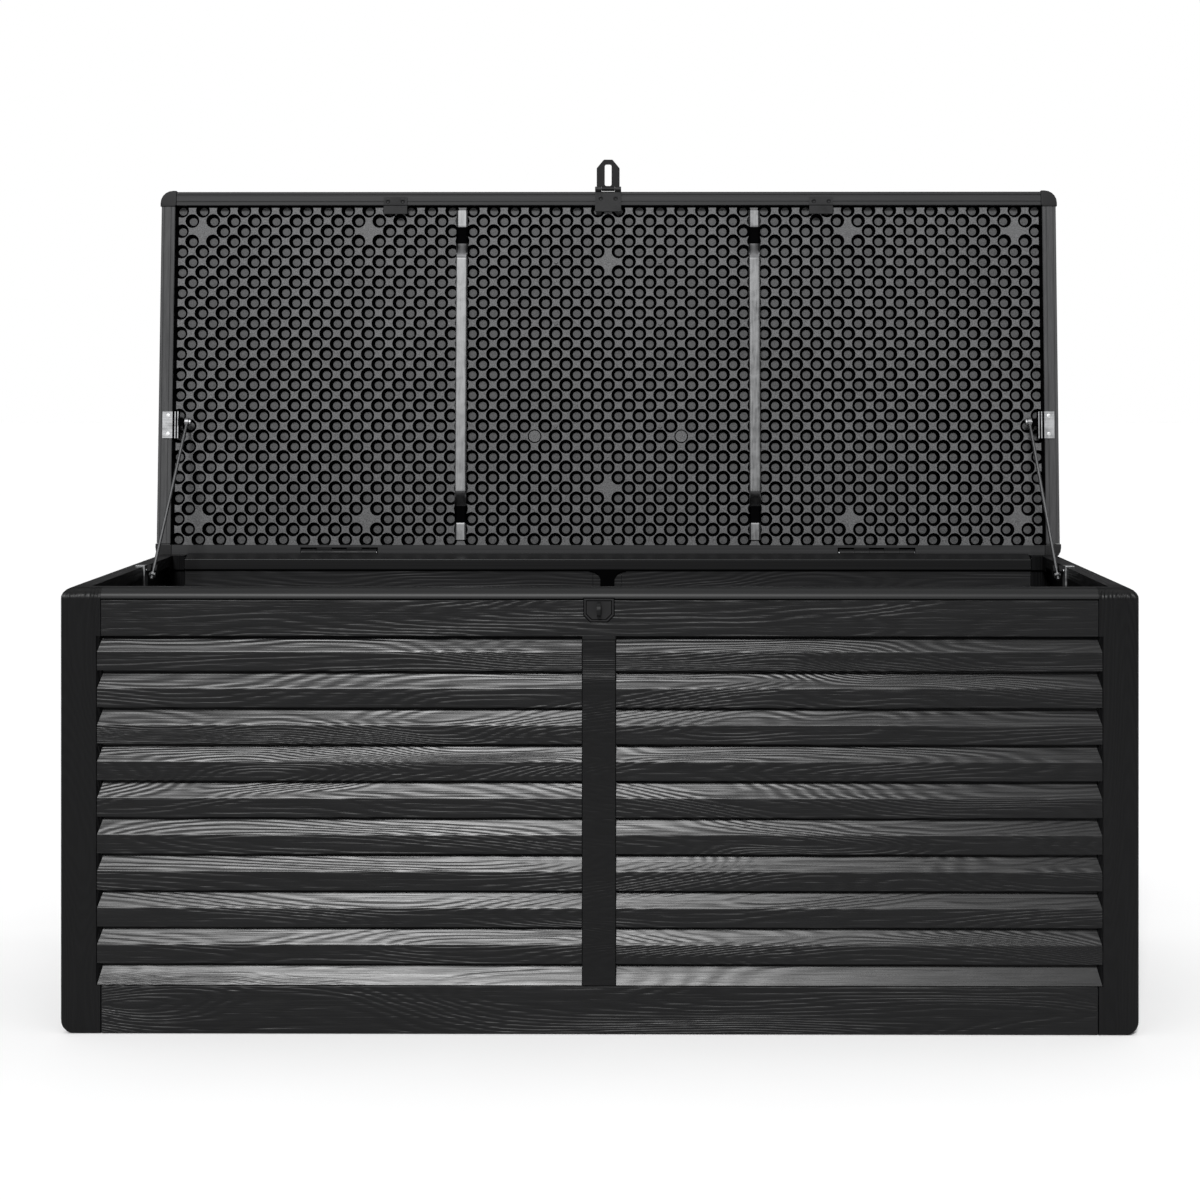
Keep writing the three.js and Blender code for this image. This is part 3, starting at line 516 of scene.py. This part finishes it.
BOSS_PROFILE = ((0.0034, 0.0), (0.0034, 0.0014), (0.0029, 0.0019), (0.0016, 0.0019), (0.0012, 0.0011))
GATE_PROFILE = ((0.0017, 0.0), (0.0017, 0.0006), (0.0013, 0.0009))
BOSS_SITES = [(i, j) for i in (-5, 5) for j in (-11, -5, 5, 11)]
GATE_SITES = [(0, -8), (0, 8)]


def panel_bosses():
    """Small ring bosses and gate marks on the webs between the pits."""
    low, high = lid_box("lid_panel")
    middle_y = (low.y + high.y) / 2
    for name, profile, sites in (("lid_panel_bosses", BOSS_PROFILE, BOSS_SITES),
                                 ("lid_panel_gates", GATE_PROFILE, GATE_SITES)):
        heads(name, profile, [(i * PIT_HALF_PITCH, middle_y + j * PIT_ROW, low.z) for i, j in sites],
              (0, 0, -1), "lid", BOSS_RESIN)


# ---------------------------------------------------------------- lid rails
RAIL_RELIEF = (  # distance from the lid's edge, height of the groove or land above the rail's lower face
    (0.0021, 0.0007), (0.0028, 0.0), (0.0062, 0.0), (0.0066, 0.0013), (0.0084, 0.0013), (0.0088, 0.0),
    (0.0172, 0.0), (0.0176, 0.0011), (0.0190, 0.0011), (0.0194, 0.0), (0.0232, 0.0), (0.0240, 0.0008))
RAIL_WEB = 0.006
RAIL_FLANGE = 0.004
RAIL_BREAK = 0.0006
RAIL_CURVE = 0.010


def rail_outline(low_z, high_z, inset, width):
    """Section of a lid rail as (distance from the lid's edge, height), grooved below."""
    inner, web, curve = inset + width, inset + RAIL_WEB, inset + RAIL_CURVE
    outline = [(across, low_z + lift) for across, lift in RAIL_RELIEF]
    outline += [(inner, low_z + RAIL_FLANGE), (web, low_z + RAIL_FLANGE), (web, high_z - RAIL_FLANGE),
                (inner, high_z - RAIL_FLANGE), (inner, high_z - RAIL_BREAK), (inner - RAIL_BREAK, high_z)]
    for k in range(9):
        angle = math.radians(90 + 90 * k / 8)
        outline.append((curve + RAIL_CURVE * math.cos(angle), high_z - RAIL_CURVE + RAIL_CURVE * math.sin(angle)))
    return outline


def lid_rails():
    """The front and side rails of the lid, with lengthwise grooves in their lower faces."""
    cap_low, _ = lid_box("lid_corner_front_left")
    _, cap_high = lid_box("lid_corner_rear_right")
    for node, axis, sign, material in (("lid_rail_front", "X", -1, LID_RAIL_X),
                                       ("lid_rail_left", "Y", -1, LID_RAIL_Z),
                                       ("lid_rail_right", "Y", 1, LID_RAIL_Z)):
        low, high = lid_box(node)
        run, across = (0, 1) if axis == "X" else (1, 0)
        edge = cap_low[across] if sign < 0 else cap_high[across]
        inset = low[across] - edge if sign < 0 else edge - high[across]
        outline = [(edge - sign * reach, z)
                   for reach, z in rail_outline(low.z, high.z, inset, high[across] - low[across])]
        mesh = prism(node + "_shape", outline, axis, low[run], high[run])
        mesh.transform(OPENED)
        smooth(mesh, 24.0)
        add_piece(node + "_shape", mesh, "lid", material, (node,))


# ---------------------------------------------------------------- stiffener bars with crushed ends
BAR_TAB = 0.027
BAR_TROUGH = 0.053
BAR_FULL = 0.078
BAR_TAB_HEIGHT = 0.003
BAR_TROUGH_HEIGHT = 0.0014
BAR_WALL_HEIGHT = 0.0078
BAR_EASE = 0.006  # length of the drop into the trough; also how far before its end the trough starts to rise
BAR_EDGE_DROP = 0.16  # share of its height that the full tube loses at its edges
BAR_END_STATIONS = [0.0, 0.0008] + [0.003 * k for k in range(1, 29)]
BAR_INNER_STATION = 0.12
BAR_ACROSS = (-1.0, -0.93, -0.84, -0.7, -0.5, -0.25, 0.0, 0.25, 0.5, 0.7, 0.84, 0.93, 1.0)


def bar_height(across, from_end, full):
    """Height of a bar over its base: a flat-topped tube whose ends are crushed between raised walls."""
    floor = BAR_TAB_HEIGHT + (BAR_TROUGH_HEIGHT - BAR_TAB_HEIGHT) * eased(from_end, BAR_TAB, BAR_TAB + BAR_EASE)
    wall = BAR_WALL_HEIGHT + (full - BAR_WALL_HEIGHT) * eased(from_end, BAR_TAB, BAR_TROUGH)
    crushed = floor + (wall - floor) * eased(abs(across), 0.72, 1.0)
    middle = full * (1.0 - BAR_EDGE_DROP * eased(abs(across), 0.8, 1.0))
    return crushed + (middle - crushed) * eased(from_end, BAR_TROUGH - BAR_EASE + 0.008 * across * across, BAR_FULL)


def stiffener_bars():
    """Two zinc-plated tubes across the lid, crushed flat where they are fixed."""
    for side, _ in SIDES:
        node = f"stiffener_bar_{side}"
        low, high = lid_box(node)
        full, length = high.z - low.z, high.y - low.y
        middle, half = (low.x + high.x) / 2, (high.x - low.x) / 2
        near = BAR_END_STATIONS + [BAR_INNER_STATION]
        stations = near + [length / 2] + [length - offset for offset in reversed(near)]
        loops = []
        for station in stations:
            from_end = min(station, length - station)
            top = [(middle + half * across, low.y + station, high.z - bar_height(across, from_end, full))
                   for across in BAR_ACROSS]
            base = [(middle + half * across, low.y + station, high.z) for across in reversed(BAR_ACROSS)]
            loops.append(top + base)
        mesh = loft(node + "_shape", loops)
        # faces in the trough take the black as painted shade, faces where the tube rises take the darker zinc as
        # painted shade
        looks = []
        for face in mesh.polygons:
            from_end = min(face.center.y - low.y, high.y - face.center.y)
            if BAR_TAB + 0.001 < from_end < BAR_TROUGH:
                looks.append(1)
            else:
                looks.append(2 if BAR_TROUGH <= from_end < BAR_FULL else 0)
        mesh.transform(OPENED)
        smooth(mesh, 40.0)
        add_piece(node + "_shape", mesh, "lid", (ZINC_BAR_PAINTED_LIGHT_AND_SHADE[side], BLACK_AND_PAINTED_SHADE, PAINTED_SHADE_ZINC),
                  (node,), looks)


# ---------------------------------------------------------------- screws and rivets
SCREW_PROFILE = (  # radius and height of each ring
    (0.0037, 0.0), (0.0037, 0.0005), (0.0032, 0.0012), (0.0021, 0.0016), (0.0017, 0.001), (0.0005, 0.0008))
FLAT_SCREW_PROFILE = (
    (0.0037, 0.0), (0.0035, 0.0003), (0.0030, 0.0004), (0.0020, 0.0004), (0.0016, 0.0001), (0.0004, 0.0001))
FLAT_RIVET_PROFILE = ((0.0034, 0.0), (0.0031, 0.0003), (0.0020, 0.0004), (0.0006, 0.0005))
CLIP_SCREW_OFFSET = 0.012  # from the middle of a clip or of the hasp's base
CLIP_SCREW_INSET = 0.0065
HASP_SCREW_INSET = 0.0187
HASP_SCREW_DROP = 0.0063  # from the top of the hasp's base to its screwed face
STAY_RIVET_ACROSS = 0.009
STAY_RIVET_INSET = 0.007
STAY_SHEET = 0.002
LEAF_SCREW_OFFSETS = (-0.045, 0.0, 0.045)
LEAF_SCREW_DROP = 0.012
LEAF_SHEET = 0.003


def heads(name, profile, spots, facing, body, material):
    """Screw or rivet heads on one face, as one piece; those of the lid are given with the lid closed."""
    mesh = joined(name, [turned(profile, spot, facing) for spot in spots])
    if body == "lid":
        mesh.transform(OPENED)
    smooth(mesh, 40.0)
    add_piece(name, mesh, body, material)


def fasteners():
    """Heads on the clips, the hasp, the hinges and the stay brackets."""
    down, back = (0, 0, -1), (0, 1, 0)
    for side, sign in SIDES:
        low, high = lid_box(f"lid_clip_{side}")
        middle = (low.x + high.x) / 2
        spots = [(middle + offset, low.y + CLIP_SCREW_INSET, low.z)
                 for offset in (-CLIP_SCREW_OFFSET, CLIP_SCREW_OFFSET)]
        heads(f"lid_clip_screws_{side}", FLAT_SCREW_PROFILE, spots, down, "lid", DARK_STEEL)
        low, high = lid_box(f"stay_lid_bracket_{side}")
        plate_x = low.x + STAY_RIVET_ACROSS if sign < 0 else high.x - STAY_RIVET_ACROSS
        spots = [(plate_x, y, high.z - STAY_SHEET) for y in (low.y + STAY_RIVET_INSET, high.y - STAY_RIVET_INSET)]
        heads(f"stay_lid_rivets_{side}", FLAT_RIVET_PROFILE, spots, down, "lid", RIVET_STEEL)
        low, high = lid_box(f"hinge_leaf_lid_{side}")
        middle = (low.x + high.x) / 2
        spots = [(middle + offset, low.y + LEAF_SHEET, high.z - LEAF_SCREW_DROP) for offset in LEAF_SCREW_OFFSETS]
        heads(f"hinge_lid_screws_{side}", SCREW_PROFILE, spots, back, "lid", DARK_STEEL)
        low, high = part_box(f"hinge_leaf_body_{side}")
        spots = [(middle + offset, low.y + LEAF_SHEET, low.z + LEAF_SCREW_DROP) for offset in LEAF_SCREW_OFFSETS]
        heads(f"hinge_body_screws_{side}", SCREW_PROFILE, spots, back, "root", DARK_STEEL)
    low, high = lid_box("hasp_base")
    spots = [(offset, low.y + HASP_SCREW_INSET, high.z - HASP_SCREW_DROP)
             for offset in (-CLIP_SCREW_OFFSET, CLIP_SCREW_OFFSET)]
    heads("hasp_base_screws", FLAT_SCREW_PROFILE, spots, down, "lid", DARK_STEEL)


# ---------------------------------------------------------------- lock plate
PLATE_CHAMFER = 0.009
PLATE_CHAMFER_LOSS = 0.4  # how much the chamfer shrinks for each unit of inset
PLATE_LEVELS = ((0.0, 0.0), (0.0, 0.0006), (0.0012, 0.0014), (0.0034, 0.0014), (0.0045, 0.0025))  # inset, rise
PLATE_LEDGE = 2  # the level whose band is flat and keeps the plate's own colour; the other bands take painted shade


def lock_plate():
    """The plate behind the staple: chamfered below, with a raised inner field, and painted shade on its sloping and
    side bands.
    """
    low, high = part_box("lock_plate")
    loops = []
    for inset, rise in PLATE_LEVELS:
        left, right, bottom, top = low[0] + inset, high[0] - inset, low[2] + inset, high[2] - inset
        chamfer = PLATE_CHAMFER - PLATE_CHAMFER_LOSS * inset
        outline = ((left, top), (right, top), (right, bottom + chamfer), (right - chamfer, bottom),
                   (left + chamfer, bottom), (left, bottom + chamfer))
        loops.append([(x, high[1] - rise, z) for x, z in outline])
    mesh = loft("lock_plate_shape", loops)
    sides = len(outline)
    # every band but the flat ledge takes the black as painted shade
    looks = [int(level != PLATE_LEDGE) for level in range(len(PLATE_LEVELS) - 1) for _ in range(sides)] + [0, 0]
    smooth(mesh, 20.0)
    add_piece("lock_plate_shape", mesh, "root", (DARK_RESIN, BLACK_AND_PAINTED_SHADE), ("lock_plate",), looks)


# ---------------------------------------------------------------- back joiner
JOINER_STRIP = 0.011
JOINER_HEAD = 0.029
JOINER_LIP = 0.0015
JOINER_FLARE = 0.014
JOINER_PLAY = 0.0003


def back_joiner():
    """The strip that joins the two back panels; it flares out under the rear rim in concave curves."""
    low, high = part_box("back_joiner")
    panel_low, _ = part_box("back_panel_right")
    _, floor_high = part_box("floor_panel_right")
    bottom = floor_high[2] + JOINER_PLAY
    right = [(JOINER_HEAD, high[2])]
    for k in range(11):
        turn = math.pi / 2 * k / 10
        right.append((JOINER_HEAD - (JOINER_HEAD - JOINER_STRIP) * math.sin(turn),
                      high[2] - JOINER_LIP - JOINER_FLARE * (1.0 - math.cos(turn))))
    right.append((JOINER_STRIP, bottom))
    core = panel_low[0] - JOINER_PLAY
    tongue = [(-JOINER_STRIP, bottom), (JOINER_STRIP, bottom), (JOINER_STRIP, high[2]), (-JOINER_STRIP, high[2])]
    inner = panel_low[1]
    mesh = joined("back_joiner_shape", [
        prism("strip", right + [(-x, z) for x, z in reversed(right)], "Y", low[1], inner - JOINER_PLAY),
        prism("tongue", tongue, "Y", inner - JOINER_PLAY, inner),
        prism("core", [(-core, low[2]), (core, low[2]), (core, high[2]), (-core, high[2])], "Y", inner, high[1])])
    looks = [int(face.center.y > inner - TOUCH) for face in mesh.polygons]
    smooth(mesh, 20.0)
    add_piece("back_joiner_shape", mesh, "root", (BLACK_AND_PAINTED_SHADE, BACK_GRAIN), ("back_joiner",), looks)


# ---------------------------------------------------------------- front rim
RIM_REBATE = 0.0014
RIM_REBATE_DEPTH = 0.003
RIM_CURVE = 0.0155
RIM_CURVE_SQUASH = 0.88  # height of the rounded edge over its depth
RIM_EDGE_SETBACK = 0.0004
RIM_BREAK = 0.001
RIM_REBATE_SHADE_SIDES = (1, 2)  # the faces inside the rebate, in the order of the outline; they take the black as painted shade


def front_rim():
    """The rounded front rim, rebated below, with painted shade on the rebate's faces so that a dark line parts it
    from the top rail.
    """
    low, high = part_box("rim_front")
    front, rear, bottom, top = low[1], high[1], low[2], high[2]
    outline = [(rear, bottom), (front + RIM_REBATE_DEPTH, bottom), (front + RIM_REBATE_DEPTH, bottom + RIM_REBATE),
               (front + RIM_EDGE_SETBACK, bottom + RIM_REBATE)]
    for k in range(9):
        angle = math.pi - math.pi / 2 * k / 8
        outline.append((front + RIM_CURVE * (1 + math.cos(angle)),
                        top - RIM_CURVE * RIM_CURVE_SQUASH * (1 - math.sin(angle))))
    outline += [(rear - RIM_BREAK, top), (rear, top - RIM_BREAK)]
    mesh = prism("rim_front_shape", outline, "X", low[0], high[0])
    looks = [int(side in RIM_REBATE_SHADE_SIDES) for side in range(len(mesh.polygons))]
    smooth(mesh, 24.0)
    add_piece("rim_front_shape", mesh, "root", (RIM_GRAIN, BLACK_AND_PAINTED_SHADE), ("rim_front",), looks)


# ---------------------------------------------------------------- clips and stay brackets under the lid
BLOCK_FACES = 6
CLIP_PLATE = 0.002
CLIP_PLAY = 0.0003  # the plate ends this far in front of the rail's rear edge
CLIP_BLOCK_SETBACK = 0.0008
CLIP_SHADE_INSET = 0.0004  # the black sheet of painted shade in the groove, from the sides
CLIP_SHADE_REACH = (-0.0005, 0.001)
CLIP_SHADE_HEIGHT = (0.0012, 0.0019)
BRACKET_PLATE = 0.016  # width of the plate that is riveted to the lid rail
BRACKET_SHEET = 0.0016
BRACKET_WEB_END = 0.0280
BRACKET_WEB_HEIGHT = (0.0014, 0.0002)  # below the bracket's upper face
BRACKET_FOLDS = (0.0196, 0.0240)
BRACKET_FOLD_DROP = 0.0024
BRACKET_LUG = 0.0276
BRACKET_LUG_DROP = 0.0005
BRACKET_LUG_MARGIN = 0.001  # how far the lug reaches past the pivot pin


def block(low, high):
    """A box as a closed mesh."""
    return prism("block", [(low[0], low[1]), (high[0], low[1]), (high[0], high[1]), (low[0], high[1])],
                 "Z", low[2], high[2])


def block_looks(*looks):
    """The look of every face of blocks that were joined, from one look for each block."""
    return [look for look in looks for _ in range(BLOCK_FACES)]


def lid_clips():
    """A screwed plate on the front rail and a block behind it, parted by a groove that holds a black sheet of painted
    shade.
    """
    _, rail_high = lid_box("lid_rail_front")
    step = rail_high.y
    for side, _ in SIDES:
        node = f"lid_clip_{side}"
        low, high = lid_box(node)
        plate = block(low, (high.x, step - CLIP_PLAY, low.z + CLIP_PLATE))
        rear_block = block((low.x, step + CLIP_BLOCK_SETBACK, low.z), high)
        groove_shade = block(
            (low.x + CLIP_SHADE_INSET, step + CLIP_SHADE_REACH[0], low.z + CLIP_SHADE_HEIGHT[0]),
            (high.x - CLIP_SHADE_INSET, step + CLIP_SHADE_REACH[1], low.z + CLIP_SHADE_HEIGHT[1]))
        mesh = joined(node + "_shape", [plate, rear_block, groove_shade])
        mesh.transform(OPENED)
        add_piece(node + "_shape", mesh, "lid", (CLIP_STEEL, BLACK_AND_PAINTED_SHADE), (node,),
                  block_looks(0, 0, 1))


def stay_brackets():
    """A riveted plate, a folded channel and a lug that carries the pivot of the rod."""
    for side, sign in SIDES:
        node = f"stay_lid_bracket_{side}"
        low, high = lid_box(node)
        pin_low, pin_high = lid_box(f"stay_pivot_pin_{side}")
        outer = low.x if sign < 0 else high.x

        def part(start, end, y, z):
            ends = sorted((outer - sign * start, outer - sign * end))
            return block((ends[0], y[0], z[0]), (ends[1], y[1], z[1]))

        full_y, fold_z = (low.y, high.y), (high.z - BRACKET_FOLD_DROP, high.z)
        plate = part(0.0, BRACKET_PLATE, full_y, (high.z - STAY_SHEET, high.z))
        web = part(BRACKET_PLATE, BRACKET_WEB_END, full_y, [high.z - drop for drop in BRACKET_WEB_HEIGHT])
        folds = [part(start, start + BRACKET_SHEET, full_y, fold_z) for start in BRACKET_FOLDS]
        lug_y = (pin_low.y - BRACKET_LUG_MARGIN, pin_high.y + BRACKET_LUG_MARGIN)
        lug = part(BRACKET_LUG, high.x - low.x, lug_y, (low.z, high.z - BRACKET_LUG_DROP))
        mesh = joined(node + "_shape", [plate, web, *folds, lug])
        mesh.transform(OPENED)
        # the web and the lug of the zinc bracket take the black as painted shade
        add_piece(node + "_shape", mesh, "lid", (ZINC_X, BLACK_AND_PAINTED_SHADE), (node,),
                  block_looks(0, 1, 0, 0, 1))


# ---------------------------------------------------------------- pieces whose CAD shape only needs its edges rounded
def softened_nodes():
    """Rounds the edges of the mouldings and the hardware."""
    for side, _ in SIDES:
        moulded(f"front_panel_{side}", GRAIN_X, 0.0006, slope_material=SLAT_GRAIN)
        moulded(f"back_panel_{side}", BACK_GRAIN, 0.0006, slope_material=SLAT_GRAIN)
        moulded(f"side_panel_{side}", GRAIN_Y, 0.0006, slope_material=SLAT_GRAIN_Y)
        moulded(f"rim_{side}", GRAIN_Y, 0.0012)
        moulded(f"floor_panel_{side}", DARK_RESIN, 0.001)
        for end, _ in ENDS:
            moulded(f"corner_post_{end}_{side}", GRAIN_Z, 0.0012)
            moulded(f"lid_corner_{end}_{side}", DARK_RESIN, 0.0012)
        moulded(f"hinge_leaf_body_{side}", DARK_STEEL, 0.0005)
        moulded(f"hinge_leaf_lid_{side}", DARK_STEEL, 0.0005)
        moulded(f"hinge_pin_{side}", ZINC_X, 0.0005)
        moulded(f"stay_rod_{side}", ZINC_ROD, 0.0004)
        moulded(f"stay_stop_{side}", ZINC_X, 0.0005)
        moulded(f"stay_guide_{side}", DARK_STEEL, 0.0005)
        moulded(f"stay_rim_bracket_{side}", ZINC_X, 0.0005)
        moulded(f"stay_pivot_pin_{side}", ZINC_X, 0.0004)
    moulded("floor_beam", DARK_RESIN, 0.001)
    moulded("front_bottom_rail", GRAIN_X, 0.0022)
    moulded("front_top_rail", GRAIN_X, 0.0012)
    moulded("front_mullion", MULLION_GRAIN, 0.0012)
    moulded("rim_rear", RIM_RESIN, 0.0012)
    moulded("padlock_staple", DARK_STEEL, 0.0008)
    moulded("lid_rail_rear", LID_RAIL_X, 0.0008)
    moulded("hasp_base", CLIP_STEEL, 0.0005)
    moulded("hasp_pin", DARK_STEEL, 0.0003)
    moulded("hasp_tongue", DARK_STEEL, 0.0005)


# ---------------------------------------------------------------- stage
FLOOR_REACH = 40.0
FLOOR_DROP = 0.0005
SUNS = (  # name, strength, then spread, elevation and azimuth in degrees
    ("key", 3.3, 12.0, 33.0, -7.0),
    ("overhead", 1.3, 70.0, 88.0, 0.0),
)
SKY = (0.12, 0.12, 0.122)  # what lights the box; the camera sees white


def stage():
    """A plain pale floor under a key sun from the front, a soft sun overhead and an even surround."""
    floor_material = Shader("floor", roughness=0.9, specular=0.1)
    floor_material.colour(floor_material.noise(3.0), (0.93, 0.93, 0.93), (0.97, 0.97, 0.97))
    bm = bmesh.new()
    bmesh.ops.create_grid(bm, x_segments=8, y_segments=8, size=FLOOR_REACH)
    mesh = bpy.data.meshes.new("floor")
    bm.to_mesh(mesh)
    bm.free()
    mesh.materials.append(floor_material.material)
    floor = bpy.data.objects.new("floor", mesh)
    bpy.context.scene.collection.objects.link(floor)
    floor.location.z = -FLOOR_DROP

    for name, strength, spread, elevation, azimuth in SUNS:
        sun = bpy.data.lights.new(name, "SUN")
        sun.energy = strength
        sun.angle = math.radians(spread)
        light = bpy.data.objects.new(name, sun)
        light.rotation_euler = (math.radians(90.0 - elevation), 0.0, math.radians(azimuth))
        bpy.context.scene.collection.objects.link(light)

    world = bpy.data.worlds.new("surround")
    bpy.context.scene.world = world
    world.use_nodes = True
    nodes, links = world.node_tree.nodes, world.node_tree.links
    seen, lit = nodes["Background"], nodes.new("ShaderNodeBackground")
    seen.inputs["Color"].default_value = (1.0, 1.0, 1.0, 1.0)
    lit.inputs["Color"].default_value = (*SKY, 1.0)
    mix, path = nodes.new("ShaderNodeMixShader"), nodes.new("ShaderNodeLightPath")
    links.new(path.outputs["Is Camera Ray"], mix.inputs["Fac"])
    links.new(lit.outputs["Background"], mix.inputs[1])
    links.new(seen.outputs["Background"], mix.inputs[2])
    links.new(mix.outputs["Shader"], nodes["World Output"].inputs["Surface"])
    bpy.context.scene.view_settings.view_transform = "Standard"


def add_camera():
    """Eye-level camera in front of the box, a little right of its middle, with a rising front."""
    data = bpy.data.cameras.new("camera")
    data.sensor_width = 36.0
    data.lens = 68.5
    data.shift_x = -0.0317
    data.shift_y = -0.1854
    camera = bpy.data.objects.new("camera", data)
    camera.location = (0.0731, -3.3561, 0.8844)
    camera.rotation_euler = (math.radians(89.97), 0.0, math.radians(0.384))
    bpy.context.scene.collection.objects.link(camera)
    bpy.context.scene.camera = camera


add_camera()
lid_panel()
panel_bosses()
lid_rails()
stiffener_bars()
fasteners()
lock_plate()
back_joiner()
front_rim()
lid_clips()
stay_brackets()
softened_nodes()
stage()
